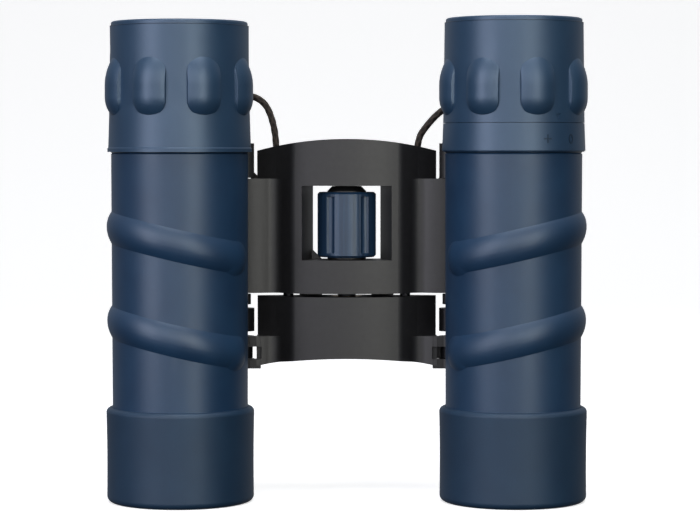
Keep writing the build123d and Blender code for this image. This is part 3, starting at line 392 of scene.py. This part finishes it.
def thin_ring(name, body, side, radius, z, tube):
    """A round ring about one barrel's axis, from the radius of its line and of its tube."""
    vertices, faces = [], []
    for i in range(RING_SECTIONS):
        turn = 2 * math.pi * i / RING_SECTIONS
        here, there = i * RING_SIDES, (i + 1) % RING_SECTIONS * RING_SIDES
        for k in range(RING_SIDES):
            a = 2 * math.pi * k / RING_SIDES
            r = radius + tube * math.cos(a)
            x, y = side * AXIS_X + r * math.cos(turn), AXIS_Y + r * math.sin(turn)
            vertices.append((x, y, z + tube * math.sin(a)))
            above = (k + 1) % RING_SIDES
            faces.append((here + k, here + above, there + above, there + k))
    ring = mesh_object(name, vertices, faces)
    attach(ring, body)
    return ring


cup_low, left_cup_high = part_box("left_eyecup")
right_cup_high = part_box("right_dioptre_eyecup")[1]
left_groove_z, right_groove_z = left_cup_high.z - BEAD_HIGH, right_cup_high.z - BEAD_HIGH
rings = [
    thin_ring("left_eyecup_groove_shadow", "left_barrel", LEFT, GROOVE_R, left_groove_z, GROOVE_TUBE),
    thin_ring("right_eyecup_groove_shadow", "right_dioptre", RIGHT, GROOVE_R, right_groove_z, GROOVE_TUBE),
    thin_ring("left_eyecup_seal_shadow", "left_barrel", LEFT, SEAL_R, cup_low.z, SEAL_TUBE),
    thin_ring("right_base_ring_seal_shadow", "right_barrel", RIGHT, SEAL_R, base_low.z, SEAL_TUBE),
]


# ---- Materials ---------------------------------------------------------------------------


class Graph:
    """Node tree of one material, with short calls for the nodes used here."""

    def __init__(self, name):
        self.material = bpy.data.materials.new(name)
        self.material.use_nodes = True
        self.tree = self.material.node_tree
        self.shader = self.tree.nodes["Principled BSDF"]
        self.place = self.add("ShaderNodeTexCoord").outputs["Object"]

    def add(self, kind, **settings):
        node = self.tree.nodes.new(kind)
        for key, value in settings.items():
            setattr(node, key, value)
        return node

    def feed(self, socket, value):
        """Link a node's output to a socket, or set a number, colour or vector on it."""
        if isinstance(value, bpy.types.NodeSocket):
            self.tree.links.new(value, socket)
        elif socket.type == "RGBA":
            socket.default_value = (*value, 1)
        else:
            socket.default_value = value

    def noise(self, per_mm, detail, rough=0.55, stretch=None):
        """Noise with its grain given in features a millimetre."""
        source = self.place
        if stretch:
            mapping = self.add("ShaderNodeMapping")
            self.feed(mapping.inputs["Scale"], stretch)
            self.feed(mapping.inputs["Vector"], source)
            source = mapping.outputs["Vector"]
        node = self.add("ShaderNodeTexNoise")
        self.feed(node.inputs["Scale"], per_mm / MM)
        self.feed(node.inputs["Detail"], detail)
        self.feed(node.inputs["Roughness"], rough)
        self.feed(node.inputs["Vector"], source)
        return node.outputs["Fac"]

    def pebbles(self, per_mm):
        node = self.add("ShaderNodeTexVoronoi")
        self.feed(node.inputs["Scale"], per_mm / MM)
        self.feed(node.inputs["Vector"], self.place)
        return node.outputs["Distance"]

    def spread(self, value, low, high, to_low=0, to_high=1):
        """A value from low to high, spread over another range and kept within it."""
        node = self.add("ShaderNodeMapRange")
        for key, number in (
            ("From Min", low), ("From Max", high), ("To Min", to_low), ("To Max", to_high),
        ):
            self.feed(node.inputs[key], number)
        self.feed(node.inputs["Value"], value)
        return node.outputs["Result"]

    def math(self, operation, *values):
        node = self.add("ShaderNodeMath", operation=operation)
        for socket, value in zip(node.inputs, values):
            self.feed(socket, value)
        return node.outputs["Value"]

    def mix(self, share, a, b):
        """A colour from a to b."""
        node = self.add("ShaderNodeMix", data_type="RGBA")
        sockets = [s for s in node.inputs if s.type == "RGBA"]
        self.feed(sockets[0], a)
        self.feed(sockets[1], b)
        self.feed(node.inputs["Factor"], share)
        return [s for s in node.outputs if s.type == "RGBA"][0]

    def bump(self, height, depth_mm):
        node = self.add("ShaderNodeBump")
        self.feed(node.inputs["Distance"], depth_mm * MM)
        self.feed(node.inputs["Strength"], 1.0)
        self.feed(node.inputs["Height"], height)
        return node.outputs["Normal"]

    def set(self, **values):
        """Set or link the shader's sockets, named with _ for a space."""
        for key, value in values.items():
            self.feed(self.shader.inputs[key.replace("_", " ")], value)
        return self.material


MOTTLE = (0.35, 0.68)        # the part of a noise over which one tone turns into the other
EVEN = (0.3, 0.7)            # nearly the whole range of a noise


def times(colour, factor):
    return tuple(channel * factor for channel in colour)


def rubber(
    name, dark, light, rough=(0.38, 0.5), grain=0.012, ior=1.5, tint=(0.86, 0.93, 1.0), lines=0
):
    """Moulded rubber: fine pebbled grain, faint flow mottling, dull smears, upright grooves
    darkened with painted shade.
    """
    g = Graph(name)
    mottle = g.noise(0.12, 4)
    smear = g.noise(0.045, 3, stretch=(1, 1, 0.35))
    speck = g.noise(2.2, 2)
    colour = g.mix(g.spread(mottle, *MOTTLE), dark, light)
    colour = g.mix(g.spread(speck, 0.62, 0.8, 0, 0.22), colour, times(light, 1.9))
    pebble = g.pebbles(4.2)
    fine = g.noise(7, 2)
    height = g.math("ADD", g.math("MULTIPLY", pebble, 0.6), g.math("MULTIPLY", fine, 0.5))
    if lines:
        upright = g.spread(g.noise(1.3, 2, stretch=(1, 1, 0.01)), 0.4, 0.62)
        # Painted shade: the colour darkens in the upright grooves.
        colour = g.mix(g.math("MULTIPLY", upright, lines), colour, times(dark, 0.35))
        height = g.math("SUBTRACT", height, g.math("MULTIPLY", upright, 6 * lines))
    dull = g.math("ADD", smear, g.math("MULTIPLY", speck, 0.3))
    return g.set(
        Base_Color=colour,
        Roughness=g.spread(dull, 0.4, 0.85, *rough),
        Normal=g.bump(height, grain),
        IOR=ior,
        Specular_IOR_Level=0.9,
        Specular_Tint=tint,
    )


def plastic(name, dark, light, rough=(0.46, 0.52)):
    """Satin moulded plastic with a fine spark texture and faint drag marks."""
    g = Graph(name)
    mottle = g.noise(0.8, 3)
    drag = g.noise(1.4, 3, stretch=(1, 1, 0.06))
    spark = g.noise(9, 2, 0.6)
    dull = g.math("ADD", spark, g.math("MULTIPLY", drag, 0.4))
    return g.set(
        Base_Color=g.mix(g.spread(mottle, *MOTTLE), dark, light),
        Roughness=g.spread(dull, 0.5, 0.95, *rough),
        Normal=g.bump(g.math("ADD", spark, g.math("MULTIPLY", drag, 0.2)), 0.005),
        Specular_IOR_Level=0.78,
    )


def metal(name, colour, rough, along=(1, 1, 0.05), metallic=1.0):
    """Turned or drawn metal with fine tool marks."""
    g = Graph(name)
    marks = g.noise(6, 3, stretch=along)
    patch = g.noise(0.5, 3)
    return g.set(
        Base_Color=g.mix(g.spread(patch, 0.35, 0.7), times(colour, 0.86), colour),
        Metallic=metallic,
        Roughness=g.spread(marks, *EVEN, rough * 0.8, rough * 1.25),
        Normal=g.bump(marks, 0.004),
    )


def glass(name, tint, coat_tint):
    """Optical glass with a coloured anti-glare coating and a little dust."""
    g = Graph(name)
    dust = g.noise(3, 4, 0.7)
    return g.set(
        Base_Color=tint,
        Roughness=g.spread(dust, 0.6, 0.85, 0.0, 0.12),
        Transmission_Weight=1.0,
        IOR=1.52,
        Coat_Weight=0.7,
        Coat_Roughness=0.03,
        Coat_IOR=1.7,
        Coat_Tint=coat_tint,
    )


def braid(name, dark, light):
    """Braided cord: crossing yarns, lighter on their crests and darker between them as painted
    shade, with lint on top.
    """
    g = Graph(name)
    split = g.add("ShaderNodeSeparateXYZ")
    g.feed(split.inputs["Vector"], g.add("ShaderNodeUVMap", uv_map="along").outputs["UV"])
    round_turn = g.math("MULTIPLY", split.outputs["X"], 2 * math.pi * BRAID_YARNS)
    along = g.math("MULTIPLY", split.outputs["Y"], 2 * math.pi / BRAID_STEP)
    one = g.math("COSINE", g.math("ADD", round_turn, along))
    two = g.math("COSINE", g.math("SUBTRACT", round_turn, along))
    top = g.math("MAXIMUM", one, two)
    lint = g.noise(14, 3, 0.7)
    thread = g.math("MULTIPLY", g.math("SUBTRACT", round_turn, along), YARN_THREADS)
    # Painted shade: the colour is lighter on the yarns' crests and darker in the valleys between
    # them.
    share = g.spread(g.math("ADD", top, g.math("MULTIPLY", lint, 0.9)), 0.4, 1.7)
    height = g.math("ADD", top, g.math("MULTIPLY", g.math("COSINE", thread), 0.18))
    height = g.math("ADD", height, g.math("MULTIPLY", lint, 0.5))
    return g.set(
        Base_Color=g.mix(share, dark, light),
        Roughness=g.spread(lint, *EVEN, 0.75, 0.95),
        Normal=g.bump(height, 0.05),
        Sheen_Weight=0.25,
        Sheen_Roughness=0.5,
        Sheen_Tint=(0.6, 0.5, 0.45),
    )


NAVY_DARK, NAVY_LIGHT = (0.0075, 0.034, 0.084), (0.0105, 0.043, 0.1)
BLACK_DARK, BLACK_LIGHT = (0.008, 0.0077, 0.0085), (0.012, 0.0115, 0.0128)

armour_rubber = rubber("armour_rubber", NAVY_DARK, NAVY_LIGHT)
# A lighter copy of the armour's navy rubber, painted light, for the eyecups and the dioptre base
# ring at the top.
cup_rubber_lit = rubber(
    "eyecup_rubber", (0.013, 0.042, 0.09), (0.017, 0.05, 0.102), ior=1.62, tint=(0.7, 0.83, 1.0)
)
# A darker copy of the same navy rubber, painted shade, for the objective rings at the bottom.
ring_rubber_shaded = rubber(
    "ring_rubber_shaded", (0.007, 0.029, 0.066), (0.0095, 0.036, 0.078), rough=(0.47, 0.6), ior=1.44
)
wheel_rubber = rubber(
    "wheel_rubber", NAVY_DARK, NAVY_LIGHT, rough=(0.34, 0.46), grain=0.008, lines=0.6
)
# Dark rubber: the dioptre marks' own colour, and painted shade on the groove lines and seals.
mark_and_shade_rubber = rubber(
    "mark_and_shade_rubber", (0.005, 0.02, 0.045), (0.008, 0.028, 0.06), rough=(0.3, 0.4), grain=0.004
)
knot_cloth = rubber(
    "cord_knot", (0.01, 0.007, 0.006), (0.035, 0.026, 0.02), rough=(0.8, 0.95), grain=0.05
)
bridge_plastic = plastic("bridge_plastic", BLACK_DARK, BLACK_LIGHT)
barrel_plastic = plastic(
    "barrel_plastic", (0.01, 0.01, 0.011), (0.016, 0.016, 0.017), rough=(0.45, 0.55)
)
tie_plastic = plastic("tie_plastic", (0.02, 0.02, 0.02), (0.035, 0.035, 0.035), rough=(0.5, 0.6))
black_metal = metal("black_anodised", (0.025, 0.025, 0.028), 0.4, metallic=0.85)
steel = metal("ground_steel", (0.5, 0.5, 0.51), 0.3)
brass = metal("turned_brass", (0.62, 0.44, 0.2), 0.32, along=(1, 1, 8))
eye_glass = glass("eye_glass", (0.86, 0.93, 0.9), (0.45, 0.9, 0.6))
front_glass = glass("front_glass", (0.88, 0.9, 0.95), (0.75, 0.5, 0.95))
cord_cloth = braid("cord_braid", (0.008, 0.0055, 0.0045), (0.05, 0.036, 0.028))

# The finish of each of the record's slots, and the nodes that differ from it
finishes = {
    "armour_rubber": armour_rubber,
    "bridge_shell": bridge_plastic,
    "barrel_shell": barrel_plastic,
    "wheel_rubber": wheel_rubber,
    "optical_glass": eye_glass,
    "black_aluminium": black_metal,
    "steel": steel,
    "brass": brass,
    "cord_fabric": knot_cloth,
    "tie_plastic": tie_plastic,
}
own_finishes = {
    "left_eyecup": cup_rubber_lit,
    "right_dioptre_eyecup": cup_rubber_lit,
    "right_dioptre_base_ring": cup_rubber_lit,
    "left_objective_ring": ring_rubber_shaded,
    "right_objective_ring": ring_rubber_shaded,
    "guide_rods": black_metal,
    "focus_screw": black_metal,
    "left_objective_crown": front_glass,
    "left_objective_flint": front_glass,
    "right_objective_crown": front_glass,
    "right_objective_flint": front_glass,
}


def paint(obj, material):
    obj.data.materials.clear()
    obj.data.materials.append(material)


slot_of = {row["node"]: row["material_slot"] for row in frame["record"]["subparts"]}
for name, obj in nodes.items():
    paint(obj, own_finishes.get(name, finishes[slot_of[name]]))
paint(neck_cord, cord_cloth)
paint(slot_plate, bridge_plastic)
# The marks are dark in their own right; on the thin rings the dark rubber is painted shade.
for piece in [marks, *rings]:
    paint(piece, mark_and_shade_rubber)


# ---- Floor, backdrop and lights ------------------------------------------------------------
# Lengths are in metres here, angles in degrees and powers in watts.

FLOOR_FRONT, FLOOR_BACK, HALF_WIDTH = -1.5, 0.7, 3.0
SWEEP_R, WALL_TOP = 0.5, 2.2
GLOW_FROM = (0, 0.8, 0.6)    # the world's bright side: behind and above


def backdrop():
    """White floor that sweeps up behind the object."""
    profile = [(FLOOR_FRONT, 0.0), (FLOOR_BACK, 0.0)]
    for a in (math.radians(degrees) for degrees in range(10, 91, 10)):
        profile.append((FLOOR_BACK + SWEEP_R * math.sin(a), SWEEP_R - SWEEP_R * math.cos(a)))
    profile.append((FLOOR_BACK + SWEEP_R, WALL_TOP))
    vertices = [(x, y, z) for y, z in profile for x in (-HALF_WIDTH, HALF_WIDTH)]
    faces = [(2 * i, 2 * i + 1, 2 * i + 3, 2 * i + 2) for i in range(len(profile) - 1)]
    floor = mesh_object("backdrop", vertices, faces)
    g = Graph("backdrop_paper")
    grain = g.noise(0.6, 3)
    paper = g.set(
        Base_Color=g.mix(g.spread(grain, *EVEN), (0.86, 0.86, 0.86), (0.9, 0.9, 0.9)),
        Roughness=0.9,
        Emission_Color=(1.0, 1.0, 1.0),
        Emission_Strength=0.6,
    )
    paint(floor, paper)
    floor.visible_glossy = False
    floor.visible_diffuse = False


def softbox(name, turn, rise, distance, width, height, power, colour):
    """A rectangular light. Turn is to the right of the camera, rise above the level."""
    light = bpy.data.lights.new(name, "AREA")
    light.shape = "RECTANGLE"
    light.size = width
    light.size_y = height
    light.energy = power
    light.color = colour
    obj = link(name, light)
    centre = Vector((0, 0, (cad_low.z + cad_high.z) / 2))
    a, e = math.radians(turn), math.radians(rise)
    away = Vector((math.sin(a) * math.cos(e), -math.cos(a) * math.cos(e), math.sin(e)))
    obj.location = centre + away * distance
    obj.rotation_euler = away.to_track_quat("Z", "Y").to_euler()


def sky():
    """A grey world that is brighter on one side."""
    world = bpy.data.worlds.new("studio")
    scene.world = world
    world.use_nodes = True
    tree = world.node_tree
    coords = tree.nodes.new("ShaderNodeTexCoord")
    towards = tree.nodes.new("ShaderNodeVectorMath")
    towards.operation = "DOT_PRODUCT"
    towards.inputs[1].default_value = GLOW_FROM
    ramp = tree.nodes.new("ShaderNodeValToRGB")
    dim, bright = ramp.color_ramp.elements
    dim.position, dim.color = 0.0, (0.04, 0.042, 0.05, 1)
    bright.position, bright.color = 0.9, (0.85, 0.87, 0.9, 1)
    background = tree.nodes["Background"]
    background.inputs["Strength"].default_value = 0.5
    tree.links.new(coords.outputs["Generated"], towards.inputs[0])
    tree.links.new(towards.outputs["Value"], ramp.inputs["Fac"])
    tree.links.new(ramp.outputs["Color"], background.inputs["Color"])


backdrop()
for light_row in (
    # name, turn, rise, distance, width, height, power, colour
    ("key", -46, 13, 0.9, 0.42, 0.8, 4.1, (0.92, 0.91, 1.0)),
    ("second", 26, 13, 0.95, 0.38, 0.8, 3.7, (1.0, 1.0, 0.94)),
    ("fill", -8, 16, 1.0, 0.55, 0.8, 2.6, (0.97, 0.97, 1.0)),
    ("top", 0, 78, 0.9, 0.7, 0.5, 5.0, (0.95, 0.97, 1.0)),
):
    softbox(*light_row)
sky()
scene.view_settings.view_transform = "Standard"
